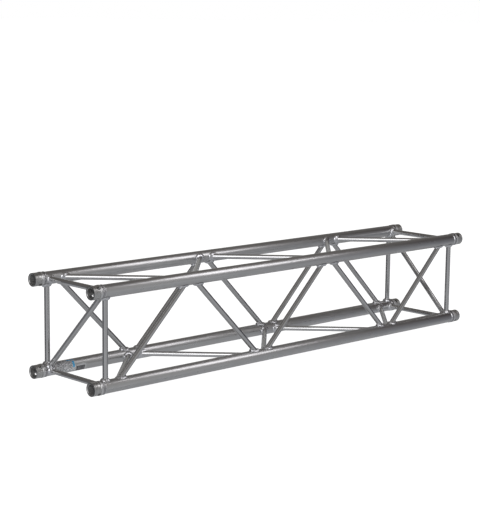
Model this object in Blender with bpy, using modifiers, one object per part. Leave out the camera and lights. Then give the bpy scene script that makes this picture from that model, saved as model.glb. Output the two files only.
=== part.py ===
"""Lighting truss section: a two metre square box truss, welded up from aluminium tube.

Metres, +Z up. The truss lies along X, centred over the origin, with its lowest point at Z = 0.
-Y is the front, +Y the back, -X the left end and +X the right end.

Four chord tubes run the whole length. A turned receiver is plugged and welded into each end of
each chord, with a conical bore for a coupler and a cross hole for its pin. Thinner tubes, cut
to fit round the chords, brace the four faces in a zigzag and frame the two ends.
"""

import math

import bmesh
import bpy
from mathutils import Matrix, Vector

# Overall
LENGTH = 2.0  # from end face to end face
CHORD_SPACING = 0.339  # centre to centre, in both directions
GAP = 0.0003  # left between pieces that touch
MERGE = 0.00001

# Chord tubes
CHORD_RADIUS = 0.024
CHORD_WALL = 0.003
CHORD_SEGMENTS = 24

# Brace tubes
BRACE_RADIUS = 0.010
BRACE_WALL = 0.002
BRACE_SEGMENTS = 16
DIAGONALS_PER_FACE = 5
DIAGONAL_STEP = 0.022  # along a chord, between the axes of two neighbouring diagonals
END_FRAME_INSET = 0.064  # from an end face to the axes of the posts

# Receivers, measured inwards from the end face
RECEIVER_RADIUS = 0.025
RECEIVER_CHAMFER = 0.0008
RECEIVER_BODY_DEPTH = 0.028
COLLAR_RADIUS = 0.0262
COLLAR_EDGE = 0.0020
COLLAR_DEPTH = 0.038
CHORD_SETBACK = 0.047  # from an end face to the end of the chord tube
SPIGOT_DEPTH = 0.070
BORE_MOUTH_RADIUS = 0.019
BORE_THROAT_RADIUS = 0.015
BORE_TAPER_DEPTH = 0.046
PIN_HOLE_DEPTH = 0.0235
PIN_HOLE_OUTER_RADIUS = 0.0070
PIN_HOLE_INNER_RADIUS = 0.0060
PIN_HOLE_SEGMENTS = 16

# Seam weld between receiver and chord
SEAM_START = 0.0385
SEAM_END = 0.0525
SEAM_VALLEY_RADIUS = 0.0248
SEAM_TOE_RADIUS = 0.0254
SEAM_TOE_WIDTH = 0.0035

# Foil label and stock tag on the back bottom chord
LABEL_THICKNESS = 0.0003
FOIL_LABEL = {"start": -0.912, "end": -0.826, "arc": 110.0, "tilt": 19.0}
STOCK_TAG = {"start": -0.823, "end": -0.777, "arc": 75.0, "tilt": -22.0}
LABEL_FACET_ANGLE = 15.0  # degrees to each facet

HALF_SPACING = CHORD_SPACING / 2
FRAME_HEIGHT = HALF_SPACING + COLLAR_RADIUS  # of the middle of the truss
END_FRAME_X = LENGTH / 2 - END_FRAME_INSET
DIAGONAL_PITCH = CHORD_SPACING + DIAGONAL_STEP

ENDS = {"left": -1, "right": 1}
CORNERS = {
    "front_top": (-1, 1),
    "back_top": (1, 1),
    "front_bottom": (-1, -1),
    "back_bottom": (1, -1),
}
ALONG_TRUSS = Vector((1, 0, 0))


def clear_scene():
    for old in list(bpy.data.objects):
        bpy.data.objects.remove(old, do_unlink=True)


def new_collection(name):
    made = bpy.data.collections.new(name)
    bpy.context.scene.collection.children.link(made)
    return made


def new_material(name, colour, roughness, metallic=1.0):
    made = bpy.data.materials.new(name)
    made.use_nodes = True
    surface = made.node_tree.nodes["Principled BSDF"]
    surface.inputs["Base Color"].default_value = (*colour, 1.0)
    surface.inputs["Roughness"].default_value = roughness
    surface.inputs["Metallic"].default_value = metallic
    return made


def line_mesh(name, points, closed):
    """A chain of edges through (radius, height) points, in the XZ plane."""
    made = bpy.data.meshes.new(name)
    bm = bmesh.new()
    corners = [bm.verts.new((radius, 0.0, height)) for radius, height in points]
    ends = corners[1:] + corners[:1] if closed else corners[1:]
    for start, end in zip(corners, ends):
        bm.edges.new((start, end))
    bm.to_mesh(made)
    bm.free()
    return made


def turned_mesh(name, points, segments, closed=True, turn=math.tau, thickness=0.0):
    """A profile turned about Z. A closed one starts at the top of its outer side and runs down."""
    blank = bpy.data.objects.new(name, line_mesh(name + "_profile", points, closed))
    bpy.context.scene.collection.objects.link(blank)
    screw = blank.modifiers.new("turn", "SCREW")
    screw.axis = "Z"
    screw.angle = turn
    screw.steps = segments
    screw.render_steps = segments
    screw.use_merge_vertices = True
    screw.merge_threshold = MERGE
    if thickness:
        solidify = blank.modifiers.new("thickness", "SOLIDIFY")
        solidify.thickness = thickness
        solidify.offset = 1.0
    bpy.context.view_layer.update()
    evaluated = blank.evaluated_get(bpy.context.evaluated_depsgraph_get())
    made = bpy.data.meshes.new_from_object(evaluated)
    bpy.data.objects.remove(blank, do_unlink=True)
    made.shade_smooth()
    made.set_sharp_from_angle(angle=math.radians(35))
    return made


def tube_mesh(name, length, radius, wall, segments):
    """A plain tube along Z, centred on its middle."""
    inner = radius - wall
    top = length / 2
    points = [(radius, top), (radius, -top), (inner, -top), (inner, top)]
    return turned_mesh(name, points, segments)


def rod_mesh(name, length, start_radius, end_radius, segments):
    """A plain round rod or cone along Z, centred on its middle."""
    made = bpy.data.meshes.new(name)
    bm = bmesh.new()
    bmesh.ops.create_cone(
        bm,
        cap_ends=True,
        segments=segments,
        radius1=start_radius,
        radius2=end_radius,
        depth=length,
    )
    bm.to_mesh(made)
    bm.free()
    return made


def new_object(name, mesh, collection, frame, position, direction):
    """An object hung from the frame, with its own Z along direction."""
    made = bpy.data.objects.new(name, mesh)
    collection.objects.link(made)
    made.parent = frame
    made.location = position
    made.rotation_euler = Vector(direction).to_track_quat("Z", "Y").to_euler()
    return made


def new_part(name, mesh, material, position, direction):
    made = new_object(name, mesh, parts, truss_frame, position, direction)
    if not mesh.materials:
        mesh.materials.append(material)
    return made


def new_cutter(name, mesh, position, direction):
    made = new_object(name, mesh, cutters, truss_frame, position, direction)
    made.hide_render = True
    made.display_type = "WIRE"
    return made


def cut(target, cutter):
    boolean = target.modifiers.new(cutter.name, "BOOLEAN")
    boolean.operation = "DIFFERENCE"
    boolean.solver = "EXACT"
    boolean.object = cutter


def corner_point(corner, x=0.0):
    side_y, side_z = CORNERS[corner]
    return Vector((x, side_y * HALF_SPACING, side_z * HALF_SPACING))


def add_chords():
    length = LENGTH - 2 * CHORD_SETBACK
    mesh = tube_mesh("chord_tube", length, CHORD_RADIUS, CHORD_WALL, CHORD_SEGMENTS)
    for corner in CORNERS:
        new_part(f"chord_{corner}", mesh, chord_metal, corner_point(corner), ALONG_TRUSS)


def receiver_profile():
    shoulder = CHORD_SETBACK - GAP
    spigot_radius = CHORD_RADIUS - CHORD_WALL - GAP
    outer = [
        (RECEIVER_RADIUS - RECEIVER_CHAMFER, 0.0),
        (RECEIVER_RADIUS, -RECEIVER_CHAMFER),
        (RECEIVER_RADIUS, -RECEIVER_BODY_DEPTH),
        (COLLAR_RADIUS, -RECEIVER_BODY_DEPTH - COLLAR_EDGE),
        (COLLAR_RADIUS, -COLLAR_DEPTH + COLLAR_EDGE),
        (CHORD_RADIUS, -COLLAR_DEPTH),
        (CHORD_RADIUS, -shoulder),
        (spigot_radius, -shoulder),
        (spigot_radius, -SPIGOT_DEPTH),
    ]
    bore = [
        (BORE_THROAT_RADIUS, -SPIGOT_DEPTH),
        (BORE_THROAT_RADIUS, -BORE_TAPER_DEPTH),
        (BORE_MOUTH_RADIUS, -RECEIVER_CHAMFER),
        (BORE_MOUTH_RADIUS + RECEIVER_CHAMFER, 0.0),
    ]
    return outer + bore


def add_receivers():
    mesh = turned_mesh("receiver", receiver_profile(), CHORD_SEGMENTS)
    pin_mesh = rod_mesh(
        "pin_hole",
        4 * CHORD_RADIUS,
        PIN_HOLE_INNER_RADIUS,
        PIN_HOLE_OUTER_RADIUS,
        PIN_HOLE_SEGMENTS,
    )
    for corner, (side_y, side_z) in CORNERS.items():
        outward = Vector((0, side_y, side_z))
        for end, side_x in ENDS.items():
            name = f"{corner}_{end}"
            end_x = side_x * LENGTH / 2
            pin_x = end_x - side_x * PIN_HOLE_DEPTH
            facing = side_x * ALONG_TRUSS
            receiver = new_part(
                f"receiver_{name}", mesh, turned_metal, corner_point(corner, end_x), facing
            )
            pin = new_cutter(f"pin_hole_{name}", pin_mesh, corner_point(corner, pin_x), outward)
            cut(receiver, pin)


def add_seam_welds():
    inner = CHORD_RADIUS + GAP
    toe_start = SEAM_END - SEAM_TOE_WIDTH
    points = [
        (SEAM_VALLEY_RADIUS, -SEAM_START),
        (SEAM_VALLEY_RADIUS, -toe_start),
        (SEAM_TOE_RADIUS, -(toe_start + SEAM_END) / 2),
        (inner, -SEAM_END),
        (inner, -SEAM_START),
    ]
    mesh = turned_mesh("seam_weld", points, CHORD_SEGMENTS)
    for corner in CORNERS:
        for end, side_x in ENDS.items():
            position = corner_point(corner, side_x * LENGTH / 2)
            facing = side_x * ALONG_TRUSS
            new_part(f"seam_weld_{corner}_{end}", mesh, weld_metal, position, facing)


def add_chord_cutters():
    """Rods a little fatter than the chords, which shape the ends of the braces."""
    radius = CHORD_RADIUS + GAP
    mesh = rod_mesh("chord_clearance", LENGTH, radius, radius, CHORD_SEGMENTS)
    return {
        corner: new_cutter(f"clear_chord_{corner}", mesh, corner_point(corner), ALONG_TRUSS)
        for corner in CORNERS
    }


def add_brace(name, mesh, start, end, chord_cutters, corners):
    """A brace tube between two points on the axes of the chords at two corners."""
    brace = new_part(name, mesh, brace_metal, (start + end) / 2, end - start)
    for corner in corners:
        cut(brace, chord_cutters[corner])
    return brace


def face_corners(face, rising):
    """The corners that a brace of a face starts and ends at, going from left to right."""
    low, high = {
        "front": ("front_bottom", "front_top"),
        "back": ("back_bottom", "back_top"),
        "top": ("front_top", "back_top"),
        "bottom": ("front_bottom", "back_bottom"),
    }[face]
    return (low, high) if rising else (high, low)


def add_face_diagonals(chord_cutters):
    length = CHORD_SPACING * math.sqrt(2)
    mesh = tube_mesh("diagonal_tube", length, BRACE_RADIUS, BRACE_WALL, BRACE_SEGMENTS)
    first_rises = {"front": True, "back": False, "top": False, "bottom": True}
    for face, rises in first_rises.items():
        for index in range(DIAGONALS_PER_FACE):
            corners = face_corners(face, rises == (index % 2 == 0))
            middle_x = (index - (DIAGONALS_PER_FACE - 1) / 2) * DIAGONAL_PITCH
            start = corner_point(corners[0], middle_x - HALF_SPACING)
            end = corner_point(corners[1], middle_x + HALF_SPACING)
            name = f"diagonal_{face}_{index + 1}"
            add_brace(name, mesh, start, end, chord_cutters, corners)


def add_end_frames(chord_cutters):
    """At each end, a post or a cross tube in each face and one diagonal across the opening."""
    side = tube_mesh("side_tube", CHORD_SPACING, BRACE_RADIUS, BRACE_WALL, BRACE_SEGMENTS)
    across = tube_mesh(
        "across_tube",
        CHORD_SPACING * math.sqrt(2),
        BRACE_RADIUS,
        BRACE_WALL,
        BRACE_SEGMENTS,
    )
    clearance = rod_mesh(
        "side_clearance",
        CHORD_SPACING,
        BRACE_RADIUS + GAP,
        BRACE_RADIUS + GAP,
        BRACE_SEGMENTS,
    )
    sides = {"front": "post", "back": "post", "top": "cross_tube", "bottom": "cross_tube"}
    diagonal_corners = {
        "left": ("back_bottom", "front_top"),
        "right": ("front_bottom", "back_top"),
    }
    for end, side_x in ENDS.items():
        x = side_x * END_FRAME_X
        side_cutters = []
        for face, kind in sides.items():
            corners = face_corners(face, True)
            start, finish = (corner_point(corner, x) for corner in corners)
            name = f"{kind}_{face}_{end}"
            add_brace(name, side, start, finish, chord_cutters, corners)
            middle = (start + finish) / 2
            side_cutters.append(new_cutter(f"clear_{name}", clearance, middle, finish - start))
        corners = diagonal_corners[end]
        start, finish = (corner_point(corner, x) for corner in corners)
        name = f"end_diagonal_{end}"
        diagonal = add_brace(name, across, start, finish, chord_cutters, corners)
        for cutter in side_cutters:
            cut(diagonal, cutter)


def add_label(name, label, material):
    """A thin plate bent round the back bottom chord. Tilt is how far its middle faces up."""
    length = label["end"] - label["start"]
    radius = CHORD_RADIUS + GAP
    arc = math.radians(label["arc"])
    first = math.radians(label["tilt"]) - arc / 2
    segments = round(label["arc"] / LABEL_FACET_ANGLE)
    points = [(radius, length / 2), (radius, -length / 2)]
    mesh = turned_mesh(name, points, segments, False, arc, LABEL_THICKNESS)
    middle = corner_point("back_bottom", (label["start"] + label["end"]) / 2)
    plate = new_part(name, mesh, material, middle, ALONG_TRUSS)
    along = -ALONG_TRUSS
    start_side = Vector((0, -math.cos(first), math.sin(first)))
    turned = Matrix((start_side, along.cross(start_side), along)).transposed()
    plate.rotation_euler = turned.to_euler()


clear_scene()
parts = new_collection("lighting_truss_section")
cutters = new_collection("cutters")
truss_frame = bpy.data.objects.new("truss_frame", None)
truss_frame.location = (0, 0, FRAME_HEIGHT)
parts.objects.link(truss_frame)

chord_metal = new_material("extruded_aluminium", (0.52, 0.52, 0.54), 0.30)
brace_metal = new_material("brace_aluminium", (0.56, 0.56, 0.57), 0.30)
turned_metal = new_material("turned_aluminium", (0.46, 0.46, 0.46), 0.36)
weld_metal = new_material("weld_aluminium", (0.66, 0.66, 0.70), 0.28)
foil = new_material("foil_label", (0.62, 0.64, 0.66), 0.45, 0.4)
tag_plastic = new_material("stock_tag", (0.42, 0.43, 0.44), 0.5, 0.0)

add_chords()
add_receivers()
add_seam_welds()
clearances = add_chord_cutters()
add_face_diagonals(clearances)
add_end_frames(clearances)
add_label("foil_label", FOIL_LABEL, foil)
add_label("stock_tag", STOCK_TAG, tag_plastic)
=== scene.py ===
"""Looks of the lighting truss section: drawn tube, turned receivers, rippled weld beads, studio.

Metres, +Z up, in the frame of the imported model. The truss lies along X and -Y is its front.
Tubes, receivers, seam welds and labels are built along their own Z, so that one material can
draw the lines or turning marks of every copy.
"""

import math

import bmesh
import bpy
from mathutils import Matrix, Vector, noise


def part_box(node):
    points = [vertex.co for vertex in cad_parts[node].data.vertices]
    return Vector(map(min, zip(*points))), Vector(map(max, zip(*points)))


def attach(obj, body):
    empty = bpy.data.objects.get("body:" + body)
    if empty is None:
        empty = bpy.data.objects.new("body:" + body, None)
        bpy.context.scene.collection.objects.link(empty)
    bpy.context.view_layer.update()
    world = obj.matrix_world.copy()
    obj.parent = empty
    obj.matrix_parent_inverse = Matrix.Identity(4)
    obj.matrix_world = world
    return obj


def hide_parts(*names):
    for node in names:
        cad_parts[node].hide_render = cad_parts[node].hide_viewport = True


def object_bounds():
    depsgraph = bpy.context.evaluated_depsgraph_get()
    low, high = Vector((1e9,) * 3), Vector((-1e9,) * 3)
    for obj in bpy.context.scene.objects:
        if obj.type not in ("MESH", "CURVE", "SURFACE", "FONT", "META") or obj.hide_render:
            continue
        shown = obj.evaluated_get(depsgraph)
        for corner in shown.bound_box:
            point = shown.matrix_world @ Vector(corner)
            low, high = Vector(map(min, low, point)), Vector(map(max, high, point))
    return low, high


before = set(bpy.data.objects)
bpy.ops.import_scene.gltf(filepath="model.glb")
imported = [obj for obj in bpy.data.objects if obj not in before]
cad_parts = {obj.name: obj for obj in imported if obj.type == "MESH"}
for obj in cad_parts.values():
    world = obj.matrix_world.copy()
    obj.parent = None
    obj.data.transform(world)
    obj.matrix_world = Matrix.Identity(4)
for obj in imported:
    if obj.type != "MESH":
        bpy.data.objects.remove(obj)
cad_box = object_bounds()

# Camera, about the photograph's viewing angle
CAMERA_POSITION = (-4.065, -4.150, 1.313)
CAMERA_AZIMUTH = 43.426  # degrees from +Y towards +X
CAMERA_PITCH = -9.234
CAMERA_ROLL = 0.644
CAMERA_LENS = 104.67
CAMERA_SENSOR_WIDTH = 36.0

# Tube
TUBE_SEGMENTS = 96
CHORD_WALL = 0.003
BRACE_WALL = 0.002
BRACE_SEGMENTS = 64
CLEARANCE = 0.0002

# Receiver, measured inwards from its end face
RECEIVER_RADIUS = 0.025
RECEIVER_BODY_DEPTH = 0.028
GROOVE_DEPTH = 0.0266
GROOVE_RADIUS = 0.0238
COLLAR_START = 0.0292
COLLAR_END = 0.0380
COLLAR_RADIUS = 0.0262
SHOULDER_DEPTH = 0.0465
SPIGOT_DEPTH = 0.070
BORE_MOUTH_RADIUS = 0.019
BORE_CHAMFER = 0.0014
BORE_THROAT_RADIUS = 0.015
BORE_TAPER_DEPTH = 0.046
END_FACE_DEPTH = 0.0003
EDGE_RADIUS = 0.0006
TOOL_MARKS = (0.0060, 0.0125)
TOOL_MARK_WIDTH = 0.0020
TOOL_MARK_DEPTH = 0.0003
PIN_HOLE_DEPTH = 0.0235
PIN_HOLE_OUTER_RADIUS = 0.0070
PIN_HOLE_INNER_RADIUS = 0.0060

# Seam weld between receiver and chord
SEAM_START = 0.0385
SEAM_END = 0.0525
SEAM_VALLEY_RADIUS = 0.0247
SEAM_TOE_RADIUS = 0.0256
SEAM_TOE_WIDTH = 0.0040
SEAM_STEPS = 288
SEAM_SECTION = 12
SEAM_RIPPLES = 40
SEAM_SWEEP = 5.0  # phase that each ripple gains towards the middle of the seam
SEAM_PATCHES_ROUND = 9.0
SEAM_PATCHES_ALONG = 300.0
SEAM_BEAD_POWER = 0.6  # under 1, so that the bead's sides are steep
SEAM_BEAD_RIPPLE = 0.4

# Fillet welds round the ends of the braces
FILLET_LEG = 0.0086
FILLET_BULGE = 0.0016
FILLET_STEPS = 144
FILLET_SECTION = 12
FILLET_ROOT_DEPTH = 0.0012
FILLET_WANDER = 0.16  # how much a bead's width varies round its brace
FILLET_WANDER_SCALE = 55
RIPPLE_PITCH = 0.0046
RIPPLE_HEIGHT = 0.00055
RIPPLE_SWEEP = 1.1

# Labels, bent round the back bottom chord. An area has limits along a label and round the chord.
LABEL_THICKNESS = 0.0003
LABEL_STEPS = 40
FOIL_PRINT_ALONG = (-0.038, 0.030)
FOIL_ROWS = 190.0  # of print, to a metre
FOIL_BLOCKS = 230.0  # in a row, to a metre
FOIL_ROW_SHIFT = 7.3  # blocks, so that neighbouring rows differ
FOIL_END_BAR = ((0.0305, 0.0395), (-0.014, 0.010))
FOIL_EDGE_BAR = ((0.010, 0.040), (-0.0215, -0.0180))
TAG_FIELD = ((-0.0225, 0.0180), (-0.0085, 0.0130))
TAG_BARS_ROUND = (-0.0060, 0.0060)

SMOOTH_ANGLE = math.radians(32)
SEED_SPREAD = 40.0
DIE_LINE_SQUASH = (1, 1, 0.004)  # draws a noise pattern out into lines along a tube
CORNERS = {
    "front_top": (-1, 1),
    "back_top": (1, 1),
    "front_bottom": (-1, -1),
    "back_bottom": (1, -1),
}
ENDS = {"left": -1, "right": 1}
BRACE_KINDS = ("diagonal_", "post_", "cross_tube_", "end_diagonal_")
ALONG_TRUSS = Vector((1, 0, 0))


# Sizes read from the frame


def centre(node):
    low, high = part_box(node)
    return (low + high) / 2


def half_size(node, axis):
    low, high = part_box(node)
    return (high[axis] - low[axis]) / 2


CHORD_AXES = {corner: centre(f"chord_{corner}") for corner in CORNERS}
CHORD_RADIUS = half_size("chord_front_top", 1)
CHORD_LENGTH = 2 * half_size("chord_front_top", 0)
BRACE_RADIUS = half_size("post_front_left", 0)
END_X = cad_box[1].x
MIDDLE = (cad_box[0] + cad_box[1]) / 2


# Mesh building


def skin_mesh(name, rings, wrap=True):
    """A closed skin over rings of points. Without wrap, the first and last rings get a cap."""
    count = len(rings[0])
    points = [point for ring in rings for point in ring]
    faces = []
    for index in range(len(rings) if wrap else len(rings) - 1):
        first = index * count
        second = (index + 1) % len(rings) * count
        for step in range(count):
            after = (step + 1) % count
            faces.append((first + step, first + after, second + after, second + step))
    if not wrap:
        faces.append(tuple(range(count)))
        faces.append(tuple(range(len(points) - count, len(points))))
    made = bpy.data.meshes.new(name)
    made.from_pydata(points, [], faces)
    bm = bmesh.new()
    bm.from_mesh(made)
    bmesh.ops.recalc_face_normals(bm, faces=bm.faces)
    bm.to_mesh(made)
    bm.free()
    smooth(made)
    return made


def smooth(mesh):
    mesh.shade_smooth()
    mesh.set_sharp_from_angle(angle=SMOOTH_ANGLE)


def rounded(points, radius, steps=4):
    """A closed outline with an arc at each corner, smaller where the sides are short."""
    outline = []
    for index, point in enumerate(points):
        here = Vector(point)
        before = Vector(points[index - 1]) - here
        after = Vector(points[(index + 1) % len(points)]) - here
        half_angle = before.angle(after) / 2
        reach = min(radius / math.tan(half_angle), before.length / 2.2, after.length / 2.2)
        start = here + before.normalized() * reach
        end = here + after.normalized() * reach
        for step in range(steps + 1):
            t = step / steps
            outline.append(start * (1 - t) ** 2 + here * 2 * t * (1 - t) + end * t**2)
    return outline


def turned_mesh(name, profile, segments=TUBE_SEGMENTS):
    """A closed outline of (radius, height) points turned about Z."""
    rings = []
    for step in range(segments):
        angle = math.tau * step / segments
        side = Vector((math.cos(angle), math.sin(angle), 0))
        rings.append([side * radius + Vector((0, 0, height)) for radius, height in profile])
    return skin_mesh(name, rings)


def new_object(name, mesh, place):
    made = bpy.data.objects.new(name, mesh)
    bpy.context.scene.collection.objects.link(made)
    made.matrix_world = place
    return made


def add_piece(name, mesh, place, material, slot, *stands_for):
    piece = new_object(name, mesh, place)
    if not mesh.materials:
        mesh.materials.append(material)
    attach(piece, "root")
    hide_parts(*stands_for)


def frame_at(position, z_axis, x_axis):
    """A place at a position, with its own Z and X along the two directions."""
    z = Vector(z_axis).normalized()
    x = Vector(x_axis).normalized()
    turned = Matrix((x, z.cross(x), z)).transposed()
    return Matrix.Translation(position) @ turned.to_4x4()


def corner_place(corner, x, facing=1):
    """On a chord's axis, facing along it. Between its own X and Y is the way out of the truss."""
    axis = CHORD_AXES[corner]
    outward = Vector((0, *CORNERS[corner]))
    facing_way = ALONG_TRUSS * facing
    return frame_at((x, axis.y, axis.z), facing_way, outward - facing_way.cross(outward))


# Materials


def new_material(name):
    made = bpy.data.materials.new(name)
    made.use_nodes = True
    tree = made.node_tree
    return made, tree, tree.nodes["Principled BSDF"]


def new_node(tree, kind, sockets=None, **settings):
    """A node with its settings. Each socket is given a value, or another node's output."""
    made = tree.nodes.new(kind)
    for key, value in settings.items():
        setattr(made, key, value)
    for key, value in (sockets or {}).items():
        if isinstance(value, bpy.types.NodeSocket):
            tree.links.new(value, made.inputs[key])
        else:
            made.inputs[key].default_value = value
    return made


def maths(tree, operation, *values):
    made = new_node(tree, "ShaderNodeMath", dict(enumerate(values)), operation=operation)
    return made.outputs[0]


def times(tree, first, second):
    return maths(tree, "MULTIPLY", first, second)


def plus(tree, first, second):
    return maths(tree, "ADD", first, second)


def remap(tree, value, low, high, to_low, to_high):
    sockets = {"Value": value, "From Min": low, "From Max": high, "To Min": to_low, "To Max": to_high}
    return new_node(tree, "ShaderNodeMapRange", sockets).outputs["Result"]


def own_coordinates(tree, scale=(1, 1, 1)):
    """The piece's own coordinates, multiplied by scale."""
    coordinates = new_node(tree, "ShaderNodeTexCoord").outputs["Object"]
    sockets = {"Vector": coordinates, "Scale": scale}
    return new_node(tree, "ShaderNodeMapping", sockets).outputs["Vector"]


def piece_seed(tree):
    """A different number for each piece, so that no two share a pattern."""
    return times(tree, new_node(tree, "ShaderNodeObjectInfo").outputs["Random"], SEED_SPREAD)


def mottle(tree, vector, seed, scale, detail=3.0, roughness=0.55):
    sockets = {
        "Vector": vector,
        "W": seed,
        "Scale": scale,
        "Detail": detail,
        "Roughness": roughness,
    }
    return new_node(tree, "ShaderNodeTexNoise", sockets, noise_dimensions="4D").outputs["Fac"]


def blend_colour(tree, factor, first, second):
    made = new_node(tree, "ShaderNodeMix", {"Factor": factor}, data_type="RGBA")
    for socket, colour in ((made.inputs[6], first), (made.inputs[7], second)):
        if isinstance(colour, bpy.types.NodeSocket):
            tree.links.new(colour, socket)
        else:
            socket.default_value = (*colour, 1.0)
    return made.outputs[2]


def bump(tree, height, distance, strength=1.0):
    sockets = {"Height": height, "Distance": distance, "Strength": strength}
    return new_node(tree, "ShaderNodeBump", sockets).outputs["Normal"]


def connect(tree, surface, **sockets):
    for key, value in sockets.items():
        name = key.replace("_", " ")
        if isinstance(value, bpy.types.NodeSocket):
            tree.links.new(value, surface.inputs[name])
        else:
            surface.inputs[name].default_value = value


def inside(tree, value, low, high):
    """1 between low and high, 0 outside."""
    above = maths(tree, "GREATER_THAN", value, low)
    below = maths(tree, "LESS_THAN", value, high)
    return times(tree, above, below)


def toned(tree, pattern, dark, light):
    """The colour between dark and light that a noise pattern picks."""
    return blend_colour(tree, remap(tree, pattern, 0.35, 0.65, 0.0, 1.0), dark, light)


def drawn_metal(name, dark, light, roughness):
    """Aluminium tube with fine die lines along it and a few soft, duller patches."""
    made, tree, surface = new_material(name)
    seed = piece_seed(tree)
    stretched = own_coordinates(tree, DIE_LINE_SQUASH)
    die_lines = mottle(tree, stretched, seed, scale=900.0, detail=2.0)
    broad_lines = mottle(tree, stretched, seed, scale=160.0, detail=2.0)
    lines = plus(tree, times(tree, die_lines, 0.5), times(tree, broad_lines, 0.5))
    clouds = mottle(tree, own_coordinates(tree), seed, scale=22.0, detail=1.0)
    dull = remap(tree, clouds, 0.40, 0.80, 0.0, 0.25)
    dull_tone = [value * 0.82 for value in dark]
    colour = blend_colour(tree, dull, toned(tree, lines, dark, light), dull_tone)
    rough = remap(tree, lines, 0.3, 0.7, roughness - 0.02, roughness + 0.02)
    rough = plus(tree, rough, times(tree, dull, 0.15))
    normal = bump(tree, die_lines, distance=0.000001)
    round_tube = new_node(tree, "ShaderNodeTangent", direction_type="RADIAL", axis="Z")
    connect(tree, surface, Base_Color=colour, Metallic=1.0, Roughness=rough, Normal=normal)
    connect(tree, surface, Anisotropic=0.6, Tangent=round_tube.outputs["Tangent"])
    return made


def turned_metal(name, dark, light, roughness):
    """Aluminium off the lathe: close rings, a painted highlight on the collar, painted shade on the end
    face and a dull bore.
    """
    made, tree, surface = new_material(name)
    seed = piece_seed(tree)
    plain = own_coordinates(tree)
    x, y, height = new_node(tree, "ShaderNodeSeparateXYZ", {"Vector": plain}).outputs
    across = maths(tree, "SQRT", plus(tree, times(tree, x, x), times(tree, y, y)))
    lathe = new_node(tree, "ShaderNodeCombineXYZ", {"X": across, "Y": height, "Z": 0.0})
    rings = mottle(tree, lathe.outputs["Vector"], seed, scale=1600.0, detail=2.0)
    bands = mottle(tree, lathe.outputs["Vector"], seed, scale=260.0, detail=2.0)
    lines = plus(tree, times(tree, rings, 0.55), times(tree, bands, 0.45))
    clouds = mottle(tree, plain, seed, scale=45.0, detail=4.0)
    dull = remap(tree, clouds, 0.4, 0.75, 0.0, 0.4)
    collar = inside(tree, height, -COLLAR_END, -COLLAR_START)
    end_face_shade = maths(tree, "GREATER_THAN", height, -END_FACE_DEPTH)
    bore = maths(tree, "LESS_THAN", across, BORE_MOUTH_RADIUS + BORE_CHAMFER / 4)
    dull_tone = [value * 0.8 for value in dark]
    colour = blend_colour(tree, dull, toned(tree, lines, dark, light), dull_tone)
    # Painted highlight: the collar's colour is blended halfway towards near white.
    colour = blend_colour(tree, times(tree, collar, 0.5), colour, (0.95, 0.95, 0.97))
    # Painted shade: the end face's colour is blended towards dark grey.
    colour = blend_colour(tree, times(tree, end_face_shade, 0.6), colour, (0.25, 0.25, 0.25))
    rough = remap(tree, lines, 0.3, 0.7, roughness - 0.05, roughness + 0.05)
    rough = plus(tree, rough, times(tree, collar, 0.12))
    rough = plus(tree, rough, times(tree, bore, 0.20))
    normal = bump(tree, lines, distance=0.00001)
    connect(tree, surface, Base_Color=colour, Metallic=1.0, Roughness=rough, Normal=normal)
    return made


def weld_metal(name, dark, light, roughness, strip=False):
    """Bright filler metal with grey soot in patches, and darker all along the seam weld's inner strip."""
    made, tree, surface = new_material(name)
    seed = piece_seed(tree)
    plain = own_coordinates(tree)
    grains = mottle(tree, plain, seed, scale=900.0, detail=3.0)
    soot = mottle(tree, plain, seed, scale=120.0, detail=4.0)
    darker_tone = [value * 0.55 for value in dark]
    sooty_patches = remap(tree, soot, 0.5, 0.8, 0.0, 0.6)
    colour = blend_colour(tree, sooty_patches, toned(tree, grains, dark, light), darker_tone)
    if strip:
        height = new_node(tree, "ShaderNodeSeparateXYZ", {"Vector": plain}).outputs["Z"]
        zone = inside(tree, height, SEAM_TOE_WIDTH - SEAM_END, -SEAM_START)
        # The seam weld's inner strip is blended towards the darker tone.
        colour = blend_colour(tree, times(tree, zone, 0.7), colour, darker_tone)
    rough = remap(tree, soot, 0.3, 0.8, roughness - 0.06, roughness + 0.12)
    normal = bump(tree, grains, distance=0.00002)
    connect(tree, surface, Base_Color=colour, Metallic=1.0, Roughness=rough, Normal=normal)
    return made


def label_position(tree):
    """How far a point lies along a label, and how far round the chord, in metres."""
    parts = new_node(tree, "ShaderNodeSeparateXYZ", {"Vector": own_coordinates(tree)})
    angle = maths(tree, "ARCTAN2", parts.outputs["Y"], parts.outputs["X"])
    return parts.outputs["Z"], times(tree, angle, CHORD_RADIUS)


def in_area(tree, along, round_chord, area):
    """1 inside an area of a label, 0 outside."""
    limits_along, limits_round = area
    in_length = inside(tree, along, *limits_along)
    return times(tree, in_length, inside(tree, round_chord, *limits_round))


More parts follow.
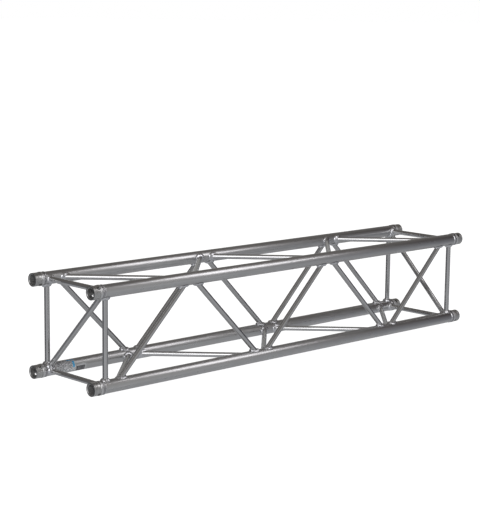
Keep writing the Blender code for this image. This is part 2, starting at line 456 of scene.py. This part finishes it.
def foil_label_material():
    """Silvery foil with rows of grey blocks in place of print, and two plain blue bars."""
    made, tree, surface = new_material("foil_label")
    along, round_chord = label_position(tree)
    seed = piece_seed(tree)
    creases = mottle(tree, own_coordinates(tree), seed, scale=180.0, detail=4.0)
    rows = times(tree, round_chord, FOIL_ROWS)
    row_shift = times(tree, maths(tree, "FLOOR", rows), FOIL_ROW_SHIFT)
    block = {"X": times(tree, along, FOIL_BLOCKS), "Y": row_shift, "Z": 0.0}
    block_place = new_node(tree, "ShaderNodeCombineXYZ", block).outputs["Vector"]
    blocks = maths(tree, "GREATER_THAN", mottle(tree, block_place, seed, scale=1.0, detail=1.0), 0.5)
    printed = times(tree, blocks, inside(tree, maths(tree, "FRACT", rows), 0.2, 0.8))
    printed = times(tree, printed, inside(tree, along, *FOIL_PRINT_ALONG))
    paper = toned(tree, creases, (0.28, 0.29, 0.30), (0.80, 0.81, 0.82))
    colour = blend_colour(tree, times(tree, printed, 0.85), paper, (0.10, 0.10, 0.11))
    end_bar = in_area(tree, along, round_chord, FOIL_END_BAR)
    edge_bar = in_area(tree, along, round_chord, FOIL_EDGE_BAR)
    bars = maths(tree, "MAXIMUM", end_bar, edge_bar)
    colour = blend_colour(tree, bars, colour, (0.08, 0.40, 0.70))
    normal = bump(tree, creases, distance=0.0002)
    connect(tree, surface, Base_Color=colour, Metallic=0.35, Roughness=0.42, Normal=normal)
    return made


def stock_tag_material():
    """A grey plastic tag: a light frame round a darker field of plain bars."""
    made, tree, surface = new_material("stock_tag")
    along, round_chord = label_position(tree)
    seed = piece_seed(tree)
    wear = mottle(tree, own_coordinates(tree), seed, scale=260.0, detail=4.0)
    stripes = mottle(tree, own_coordinates(tree, (0, 0, 1)), seed, scale=700.0, detail=1.0)
    bars = maths(tree, "GREATER_THAN", stripes, 0.5)
    bars = times(tree, bars, inside(tree, round_chord, *TAG_BARS_ROUND))
    light = blend_colour(tree, wear, (0.30, 0.31, 0.32), (0.46, 0.47, 0.48))
    dark = blend_colour(tree, times(tree, bars, 0.6), (0.045, 0.045, 0.05), (0.20, 0.20, 0.21))
    colour = blend_colour(tree, in_area(tree, along, round_chord, TAG_FIELD), light, dark)
    normal = bump(tree, wear, distance=0.0001)
    connect(tree, surface, Base_Color=colour, Metallic=0.0, Roughness=0.38, Normal=normal)
    return made


# Pieces


def add_chords():
    outer = CHORD_RADIUS
    inner = CHORD_RADIUS - CHORD_WALL
    half = CHORD_LENGTH / 2
    profile = rounded([(outer, half), (outer, -half), (inner, -half), (inner, half)], EDGE_RADIUS)
    mesh = turned_mesh("chord_tube", profile)
    for corner in CORNERS:
        place = corner_place(corner, MIDDLE.x)
        node = f"chord_{corner}"
        add_piece(f"{node}_tube", mesh, place, chord_metal, "extruded_aluminium", node)


def tool_marks():
    """Shallow grooves that the lathe tool leaves round the receiver's body."""
    marks = []
    for depth in TOOL_MARKS:
        marks.append((RECEIVER_RADIUS, -depth + TOOL_MARK_WIDTH / 2))
        marks.append((RECEIVER_RADIUS - TOOL_MARK_DEPTH, -depth))
        marks.append((RECEIVER_RADIUS, -depth - TOOL_MARK_WIDTH / 2))
    return marks


def receiver_profile():
    """The receiver's outline from the rim of its end face, down its outside and back up its bore."""
    spigot_radius = CHORD_RADIUS - CHORD_WALL - CLEARANCE
    outside = [
        (RECEIVER_RADIUS, 0.0),
        *tool_marks(),
        (RECEIVER_RADIUS, -GROOVE_DEPTH),
        (GROOVE_RADIUS, -GROOVE_DEPTH),
        (GROOVE_RADIUS, -RECEIVER_BODY_DEPTH),
        (RECEIVER_RADIUS, -RECEIVER_BODY_DEPTH),
        (COLLAR_RADIUS, -COLLAR_START),
        (COLLAR_RADIUS, -COLLAR_END),
        (CHORD_RADIUS, -COLLAR_END),
        (CHORD_RADIUS, -SHOULDER_DEPTH),
        (spigot_radius, -SHOULDER_DEPTH),
        (spigot_radius, -SPIGOT_DEPTH),
    ]
    bore = [
        (BORE_THROAT_RADIUS, -SPIGOT_DEPTH),
        (BORE_THROAT_RADIUS, -BORE_TAPER_DEPTH),
        (BORE_MOUTH_RADIUS, -BORE_CHAMFER),
        (BORE_MOUTH_RADIUS + BORE_CHAMFER, 0.0),
    ]
    return rounded(outside + bore, EDGE_RADIUS)


def pin_hole_cutter():
    """A cone right through the receiver, across its axis, wider on the outer side."""
    made = bpy.data.meshes.new("pin_hole")
    bm = bmesh.new()
    bmesh.ops.create_cone(
        bm,
        cap_ends=True,
        segments=TUBE_SEGMENTS,
        radius1=PIN_HOLE_INNER_RADIUS,
        radius2=PIN_HOLE_OUTER_RADIUS,
        depth=4 * RECEIVER_RADIUS,
    )
    bm.to_mesh(made)
    bm.free()
    place = frame_at((0, 0, -PIN_HOLE_DEPTH), (1, 1, 0), (0, 0, 1))
    return new_object("pin_hole", made, place)


def receiver_mesh():
    blank = new_object("receiver_blank", turned_mesh("receiver_blank", receiver_profile()), Matrix())
    cutter = pin_hole_cutter()
    boolean = blank.modifiers.new("pin_hole", "BOOLEAN")
    boolean.operation = "DIFFERENCE"
    boolean.solver = "EXACT"
    boolean.object = cutter
    bpy.context.view_layer.update()
    evaluated = blank.evaluated_get(bpy.context.evaluated_depsgraph_get())
    made = bpy.data.meshes.new_from_object(evaluated)
    made.name = "receiver"
    for used in (blank, cutter):
        bpy.data.objects.remove(used, do_unlink=True)
    smooth(made)
    return made


def add_receivers():
    mesh = receiver_mesh()
    for corner in CORNERS:
        for end, side_x in ENDS.items():
            node = f"receiver_{corner}_{end}"
            place = corner_place(corner, side_x * END_X, side_x)
            add_piece(f"{node}_turned", mesh, place, turned_aluminium, "turned_aluminium", node)


def seam_ring(angle):
    """One section of the seam weld: a rippled strip, then a proud bead where it meets the chord."""
    side = Vector((math.cos(angle), math.sin(angle), 0))
    toe_start = SEAM_END - SEAM_TOE_WIDTH
    inner = CHORD_RADIUS + CLEARANCE
    ring = []
    for step in range(SEAM_SECTION + 1):
        t = step / SEAM_SECTION
        depth = SEAM_START + (SEAM_END - SEAM_START) * t
        sweep = SEAM_RIPPLES * angle + SEAM_SWEEP * math.sin(math.pi * t)
        ripple = abs(math.sin(sweep / 2)) * RIPPLE_HEIGHT
        patch_place = side * SEAM_PATCHES_ROUND + Vector((0, 0, depth * SEAM_PATCHES_ALONG))
        patch = noise.noise(patch_place) * RIPPLE_HEIGHT
        radius = SEAM_VALLEY_RADIUS + ripple + patch
        if depth > toe_start:
            bead = math.sin(math.pi * (depth - toe_start) / SEAM_TOE_WIDTH)
            rise = (SEAM_TOE_RADIUS - inner) * bead**SEAM_BEAD_POWER
            radius = inner + rise + ripple * SEAM_BEAD_RIPPLE * bead
        ring.append(side * max(radius, inner + CLEARANCE / 2) + Vector((0, 0, -depth)))
    ring.append(side * (inner - CLEARANCE) + Vector((0, 0, -SEAM_END)))
    ring.append(side * (inner - CLEARANCE) + Vector((0, 0, -SEAM_START)))
    return ring


def add_seam_welds():
    rings = [seam_ring(math.tau * step / SEAM_STEPS) for step in range(SEAM_STEPS)]
    mesh = skin_mesh("seam_weld", rings)
    for corner in CORNERS:
        for end, side_x in ENDS.items():
            node = f"seam_weld_{corner}_{end}"
            place = corner_place(corner, side_x * END_X, side_x)
            add_piece(f"{node}_bead", mesh, place, seam_aluminium, "weld_aluminium", node)


def nearest_corner(point):
    """The corner whose chord passes closest to a point."""
    return min(CORNERS, key=lambda corner: (point - CHORD_AXES[corner]).yz.length)


def brace_span(node):
    """Where a brace's axis meets the axes of its two chords."""
    middle = centre(node)
    vertices = [vertex.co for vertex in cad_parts[node].data.vertices]
    reach = max((point - middle).length for point in vertices)
    far = [point for point in vertices if (point - middle).length > reach - 2 * BRACE_RADIUS]
    side = [point for point in far if (point - middle).dot(far[0] - middle) > 0]
    tip = sum(side, Vector()) / len(side)
    axis = CHORD_AXES[nearest_corner(tip)]
    half_x = tip.x - middle.x
    if abs(half_x) > BRACE_RADIUS:
        half_x = math.copysign(abs(axis.y - middle.y) + abs(axis.z - middle.z), half_x)
    else:
        half_x = 0.0
    end = Vector((middle.x + half_x, axis.y, axis.z))
    return 2 * middle - end, end


def chord_cylinder(point):
    """The chord that passes through a point, as (a point on its axis, direction, radius)."""
    return point, ALONG_TRUSS, CHORD_RADIUS


def side_cylinders(node):
    """The posts and cross tubes that an end diagonal meets."""
    end = node.rsplit("_", 1)[1]
    found = []
    for face in ("front", "back"):
        found.append((centre(f"post_{face}_{end}"), Vector((0, 0, 1)), BRACE_RADIUS))
    for face in ("top", "bottom"):
        found.append((centre(f"cross_tube_{face}_{end}"), Vector((0, 1, 0)), BRACE_RADIUS))
    return found


def first_hit(start, direction, cylinders):
    """How far along a line from start the first cylinder is, and which way its surface faces."""
    nearest = None
    for on_axis, axis, radius in cylinders:
        offset = start - on_axis
        offset -= axis * offset.dot(axis)
        heading = direction - axis * direction.dot(axis)
        a = heading.length_squared
        half_b = offset.dot(heading)
        c = offset.length_squared - (radius + CLEARANCE) ** 2
        inside_root = half_b**2 - a * c
        if a < 1e-9 or inside_root < 0:
            continue
        distance = (-half_b - math.sqrt(inside_root)) / a
        if distance > 0 and (nearest is None or distance < nearest[0]):
            nearest = (distance, (offset + heading * distance).normalized())
    return nearest


def around(place, radius, steps):
    """Points round a place's own Z axis, each with its direction outwards from the axis."""
    turn = place.to_3x3()
    for step in range(steps):
        angle = math.tau * step / steps
        outward = turn @ Vector((math.cos(angle), math.sin(angle), 0))
        yield place.translation + outward * radius, outward


def coped_tube_mesh(name, place, cylinders):
    """A tube whose two ends are cut to fit the cylinders that they meet."""
    along = place.to_3x3() @ Vector((0, 0, 1))
    home = place.inverted()
    inner_points = around(place, BRACE_RADIUS - BRACE_WALL, BRACE_SEGMENTS)
    rings = []
    for (outer, _), (inner, _) in zip(around(place, BRACE_RADIUS, BRACE_SEGMENTS), inner_points):
        ring = []
        for start, direction in ((outer, along), (outer, -along), (inner, -along), (inner, along)):
            distance, _ = first_hit(start, direction, cylinders)
            ring.append(home @ (start + direction * distance))
        rings.append(ring)
    return skin_mesh(name, rings)


def smoothed(vectors, reach=3):
    """Each vector of a loop averaged with its neighbours."""
    count = len(vectors)
    window = range(-reach, reach + 1)
    averages = []
    for index in range(count):
        total = sum((vectors[(index + shift) % count] for shift in window), Vector())
        averages.append(total / len(window))
    return averages


def fillet_mesh(name, place, towards, cylinders, seed):
    """A rippled weld bead round one end of a brace, and its place near the brace's end."""
    feet = []
    metal_ways = []
    for start, outward in around(place, BRACE_RADIUS, FILLET_STEPS):
        distance, normal = first_hit(start, towards, cylinders)
        feet.append(start + towards * distance)
        metal_ways.append((outward - normal * outward.dot(normal)).normalized())
    metal_ways = [way.normalized() for way in smoothed(metal_ways)]
    feet = smoothed(feet, 1)
    lengths = [0.0]
    for index, foot in enumerate(feet):
        lengths.append(lengths[-1] + (feet[(index + 1) % len(feet)] - foot).length)
    ripples = round(lengths[-1] / RIPPLE_PITCH)
    rings = []
    for index, (foot, way) in enumerate(zip(feet, metal_ways)):
        phase = math.pi * ripples * lengths[index] / lengths[-1]
        wander = noise.noise(foot * FILLET_WANDER_SCALE + Vector((seed, 0, 0)))
        rings.append(fillet_section(foot, -towards, way, phase, wander))
    reach = (feet[0] - place.translation).dot(towards)
    home = Matrix.Translation(-(place.translation + towards * reach))
    home_rings = [[home @ point for point in ring] for ring in rings]
    return skin_mesh(name, home_rings), home.inverted()


def fillet_section(foot, brace_way, metal_way, phase, wander):
    """One section of a bead: a slightly full slope from the brace down to the other tube."""
    leg = FILLET_LEG * (1 + FILLET_WANDER * wander)
    brace_toe = foot + brace_way * leg
    metal_toe = foot + metal_way * leg
    outward = (brace_way + metal_way).normalized()
    section = []
    for step in range(FILLET_SECTION):
        t = step / (FILLET_SECTION - 1)
        crown = 4 * t * (1 - t)
        coin = abs(math.sin(phase + RIPPLE_SWEEP * crown))
        rise = FILLET_BULGE * (1 + wander) * crown + RIPPLE_HEIGHT * coin * crown
        section.append(brace_toe.lerp(metal_toe, t) + outward * rise)
    section.append(foot + metal_way * leg * 0.5 - outward * FILLET_ROOT_DEPTH)
    section.append(foot + brace_way * leg * 0.5 - outward * FILLET_ROOT_DEPTH)
    return section


def add_brace(node, seed):
    start, end = brace_span(node)
    direction = (end - start).normalized()
    place = frame_at((start + end) / 2, direction, direction.orthogonal())
    cylinders = [chord_cylinder(start), chord_cylinder(end)]
    if node.startswith("end_diagonal_"):
        cylinders += side_cylinders(node)
    mesh = coped_tube_mesh(f"{node}_tube", place, cylinders)
    add_piece(f"{node}_tube", mesh, place, brace_metal, "brace_aluminium", node)
    for index, towards in enumerate((-direction, direction)):
        name = f"fillet_weld_{node}_{index + 1}"
        bead, bead_place = fillet_mesh(name, place, towards, cylinders, seed + index * 0.5)
        add_piece(name, bead, bead_place, weld_aluminium, "weld_aluminium")


def add_braces():
    nodes = [node for node in sorted(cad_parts) if node.startswith(BRACE_KINDS)]
    for seed, node in enumerate(nodes):
        add_brace(node, seed)


def add_label(node, material):
    """A thin plate bent round the back bottom chord, over the arc that its CAD node covers."""
    low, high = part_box(node)
    axis = CHORD_AXES["back_bottom"]
    angles = []
    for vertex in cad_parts[node].data.vertices:
        angles.append(math.atan2(vertex.co.z - axis.z, axis.y - vertex.co.y))
    first, last = min(angles), max(angles)
    middle = (first + last) / 2
    facing = Vector((0, -math.cos(middle), math.sin(middle)))
    place = frame_at(((low.x + high.x) / 2, axis.y, axis.z), ALONG_TRUSS, facing)
    inner = CHORD_RADIUS + CLEARANCE / 2
    outer = inner + LABEL_THICKNESS
    half = (high.x - low.x) / 2
    outline = rounded([(inner, half), (outer, half), (outer, -half), (inner, -half)], LABEL_THICKNESS / 3)
    rings = []
    for step in range(LABEL_STEPS + 1):
        angle = (last - first) * (step / LABEL_STEPS - 0.5)
        side = Vector((math.cos(angle), math.sin(angle), 0))
        rings.append([side * radius + Vector((0, 0, height)) for radius, height in outline])
    mesh = skin_mesh(f"{node}_plate", rings, wrap=False)
    add_piece(f"{node}_plate", mesh, place, material, node, node)


# Studio

WHITE = (1.0, 1.0, 1.0)
FLOOR_HALF_SIZE = 200.0
FLOOR_GLOW = 0.96
SOFTBOX_POSITION = (1.32, -1.45, 2.00)
SOFTBOX_TARGET = (-0.4, 0, 0.2)
SOFTBOX_SIZE = (0.95, 1.45)
SOFTBOX_RADIANCE = 2.0
SOFTBOX_COLOUR = (0.98, 0.965, 1.0)
# Soft patches of the room that the metal reflects: azimuth, elevation, full within and gone by
# (degrees from the middle), and the light they add
ROOM_PATCHES = {
    "camera_side": (-132, 24, 13, 27, (2.30, 2.30, 2.36)),
    "front": (154, 12, 14, 44, (0.22, 0.22, 0.22)),
    "camera_side_low": (-134, -12, 12, 36, (0.21, 0.21, 0.22)),
    "back_left_shade": (-56, -13, 8, 26, (-0.20, -0.20, -0.20)),
    "back_right": (36, 8, 4, 26, (0.17, 0.17, 0.16)),
    "right_shade": (104, 2, 22, 40, (-0.12, -0.12, -0.11)),
    "ceiling": (-120, 74, 8, 34, (0.16, 0.16, 0.16)),
}
# What the metal reflects elsewhere, by how steeply up or down it looks (-1 to 1)
ROOM_GLOW = {
    -0.45: (0.384, 0.390, 0.404),
    0.02: (0.178, 0.178, 0.184),
    0.45: (0.147, 0.138, 0.131),
}


def view_direction(azimuth, elevation):
    """A direction from its azimuth (degrees from +Y towards +X) and its height above level."""
    turn = math.radians(azimuth)
    lift = math.radians(elevation)
    return Vector((math.sin(turn) * math.cos(lift), math.cos(turn) * math.cos(lift), math.sin(lift)))


def add_camera():
    forward = view_direction(CAMERA_AZIMUTH, CAMERA_PITCH)
    level = forward.cross(Vector((0, 0, 1))).normalized()
    roll = math.radians(CAMERA_ROLL)
    right = level * math.cos(roll) + level.cross(forward) * math.sin(roll)
    data = bpy.data.cameras.new("camera")
    data.lens = CAMERA_LENS
    data.sensor_width = CAMERA_SENSOR_WIDTH
    camera = new_object("camera", data, frame_at(CAMERA_POSITION, -forward, right))
    bpy.context.scene.camera = camera


def add_floor():
    made, tree, surface = new_material("pale_floor")
    grain = mottle(tree, own_coordinates(tree), seed=0.0, scale=3.0)
    colour = blend_colour(tree, grain, (0.49, 0.49, 0.49), (0.51, 0.51, 0.51))
    connect(tree, surface, Base_Color=colour, Roughness=0.9, Specular_IOR_Level=0.0)
    connect(tree, surface, Emission_Color=(*WHITE, 1.0), Emission_Strength=FLOOR_GLOW)
    mesh = bpy.data.meshes.new("floor")
    half = FLOOR_HALF_SIZE
    corners = [(-half, -half, 0), (half, -half, 0), (half, half, 0), (-half, half, 0)]
    mesh.from_pydata(corners, [], [(0, 1, 2, 3)])
    mesh.materials.append(made)
    floor = new_object("floor", mesh, Matrix.Translation((0, 0, cad_box[0].z)))
    floor.visible_glossy = False


def add_softbox():
    width, height = SOFTBOX_SIZE
    data = bpy.data.lights.new("softbox", "AREA")
    data.shape = "RECTANGLE"
    data.size = width
    data.size_y = height
    data.energy = SOFTBOX_RADIANCE * math.pi * width * height
    data.color = SOFTBOX_COLOUR
    back = (Vector(SOFTBOX_POSITION) - Vector(SOFTBOX_TARGET)).normalized()
    side = Vector((0, 0, 1)).cross(back)
    light = new_object("softbox", data, frame_at(SOFTBOX_POSITION, back, side))
    light.visible_camera = False


def add_room():
    """A dim room with soft patches for the metal to reflect, and a white one to look at."""
    world = bpy.data.worlds.new("room")
    bpy.context.scene.world = world
    world.use_nodes = True
    tree = world.node_tree
    background = tree.nodes["Background"]
    direction = new_node(tree, "ShaderNodeTexCoord").outputs["Generated"]
    height = new_node(tree, "ShaderNodeSeparateXYZ", {"Vector": direction}).outputs["Z"]
    ramp = new_node(tree, "ShaderNodeValToRGB", {"Fac": remap(tree, height, -1.0, 1.0, 0.0, 1.0)})
    stops = ramp.color_ramp.elements
    stops.new(0.5)
    for stop, (steepness, colour) in zip(stops, ROOM_GLOW.items()):
        stop.position = (steepness + 1) / 2
        stop.color = (*colour, 1.0)
    glow = ramp.outputs["Color"]
    for azimuth, elevation, full, gone, colour in ROOM_PATCHES.values():
        sockets = {0: direction, 1: view_direction(azimuth, elevation)}
        cosine = new_node(tree, "ShaderNodeVectorMath", sockets, operation="DOT_PRODUCT")
        limits = [math.cos(math.radians(angle)) for angle in (gone, full)]
        amount = remap(tree, cosine.outputs["Value"], *limits, 0.0, 1.0)
        lit = new_node(tree, "ShaderNodeVectorMath", {0: colour, "Scale": amount}, operation="SCALE")
        added = new_node(tree, "ShaderNodeVectorMath", {0: glow, 1: lit.outputs[0]}, operation="ADD")
        glow = added.outputs[0]
    seen = new_node(tree, "ShaderNodeLightPath").outputs["Is Camera Ray"]
    tree.links.new(blend_colour(tree, seen, glow, WHITE), background.inputs["Color"])


add_camera()
chord_metal = drawn_metal("extruded_aluminium", (0.58, 0.58, 0.58), (0.66, 0.66, 0.66), 0.28)
brace_metal = drawn_metal("brace_aluminium", (0.59, 0.59, 0.59), (0.68, 0.68, 0.68), 0.15)
turned_aluminium = turned_metal("turned_aluminium", (0.52, 0.52, 0.51), (0.68, 0.68, 0.67), 0.28)
weld_aluminium = weld_metal("weld_aluminium", (0.66, 0.66, 0.67), (0.90, 0.91, 0.94), 0.24)
seam_aluminium = weld_metal("seam_aluminium", (0.62, 0.62, 0.63), (0.86, 0.86, 0.88), 0.24, strip=True)

add_chords()
add_receivers()
add_seam_welds()
add_braces()
add_label("foil_label", foil_label_material())
add_label("stock_tag", stock_tag_material())

add_floor()
add_softbox()
add_room()
bpy.context.scene.view_settings.view_transform = "Standard"
